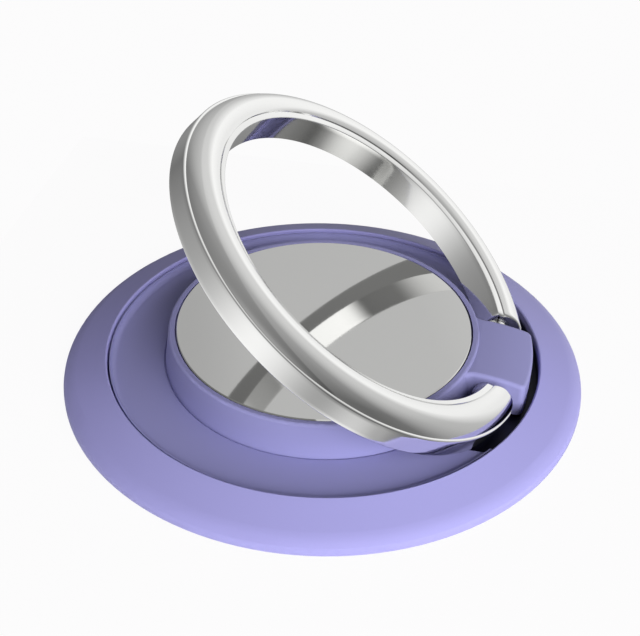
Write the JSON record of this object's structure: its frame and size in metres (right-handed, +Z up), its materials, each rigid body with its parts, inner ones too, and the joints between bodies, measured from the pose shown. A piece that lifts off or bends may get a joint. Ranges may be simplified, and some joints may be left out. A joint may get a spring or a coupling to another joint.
{
  "type": "phone ring holder",
  "caption": "Round stick-on phone ring holder: sloping flange, swivelling tower with a polished steel plate, and a folding metal finger ring on a hinge tongue.",
  "frame": {"origin": "centre of the adhesive pad's underside, on the swivel axis", "axes": "+Z up out of the phone's back, along the swivel axis; +X from the swivel axis to the ring's hinge; +Y along the hinge pin"},
  "size_m": [0.04, 0.04, 0.0205],
  "materials": {
    "painted_metal": "satin lilac paint on zinc alloy",
    "painted_metal_hub": "satin lilac paint on zinc alloy",
    "pad": "matte foam tape",
    "tape": "matte film tape",
    "polished_steel": "mirror polished steel",
    "plated_steel": "bright plated",
    "glide_plastic": "natural low friction plastic",
    "spring_steel": "plain spring steel",
    "polished_ring": "polished and plated zinc alloy"
  },
  "bodies": {
    "base": {"base": "painted_metal", "adhesive_pad": "pad", "swivel_rivet": "plated_steel", "retaining_washer": "plated_steel"},
    "hub": {"hub": "painted_metal_hub", "plate_tape": "tape", "mirror_plate": "polished_steel", "glide_washer": "glide_plastic", "disc_spring": "spring_steel", "glide_ring": "glide_plastic", "friction_sleeve": "spring_steel", "hinge_washer_near": "plated_steel", "hinge_washer_far": "plated_steel"},
    "ring": {"ring": "polished_ring", "hinge_pin": "plated_steel"}
  },
  "joints": [
    {"name": "swivel", "type": "hinge", "parent": "base", "child": "hub", "pos_m": [0, 0, 0.002], "axis": [0, 0, 1], "continuous": true},
    {"name": "ring_flip", "type": "hinge", "parent": "hub", "child": "ring", "pos_m": [0.0129, 0, 0.00261], "axis": [0, 1, 0], "range_deg": [-36.6, 53.4]}
  ]
}
